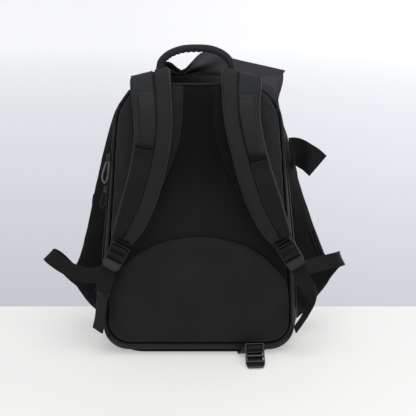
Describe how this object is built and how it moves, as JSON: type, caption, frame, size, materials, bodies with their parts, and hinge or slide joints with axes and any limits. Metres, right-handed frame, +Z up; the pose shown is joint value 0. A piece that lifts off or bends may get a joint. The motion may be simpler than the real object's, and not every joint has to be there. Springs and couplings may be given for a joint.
{
  "type": "rucksack",
  "caption": "Black cloth rucksack with a padded back, shoulder straps on ladder locks, a grab handle and a draped front compartment open at the top.",
  "frame": {"origin": "a point on the flat underside of the base, below the rear half of the pack, where it stands on the floor", "axes": "+Z up; -Y out of the padded back that faces the wearer; +X to the right when looking at that back"},
  "size_m": [0.4966, 0.2638, 0.5053],
  "materials": {
    "canvas": "matte twill weave",
    "gusset_cloth": "smooth dense weave",
    "drape_cloth": "matte plain weave",
    "webbing": "ribbed nylon webbing, slight sheen",
    "plastic": "moulded, satin",
    "zip": "coil on woven tape",
    "cord": "braided cord"
  },
  "bodies": {
    "root": {"back_panel": "canvas", "lumbar_pad": "canvas", "side_pad_left": "canvas", "side_pad_right": "canvas", "base_panel": "canvas", "shoulder_strap_left": "canvas", "shoulder_strap_right": "canvas", "gusset": "gusset_cloth", "strap_band_left": "gusset_cloth", "strap_band_right": "gusset_cloth", "strap_cover_left": "gusset_cloth", "strap_cover_right": "gusset_cloth", "grab_handle": "gusset_cloth", "divider_panel": "drape_cloth", "front_shell": "drape_cloth", "hood": "drape_cloth", "closing_tab": "drape_cloth", "panel_piping": "webbing", "strap_webbing_left": "webbing", "strap_webbing_right": "webbing", "lock_loop_left": "webbing", "lock_loop_right": "webbing", "lower_webbing_left": "webbing", "lower_webbing_right": "webbing", "floor_webbing": "webbing", "ladder_lock_left": "plastic", "ladder_lock_right": "plastic", "ladder_lock_floor": "plastic", "zip_slider_upper": "plastic", "zip_slider_lower": "plastic", "zip": "zip", "zip_pull_upper": "cord", "zip_pull_lower": "cord"}
  },
  "joints": []
}
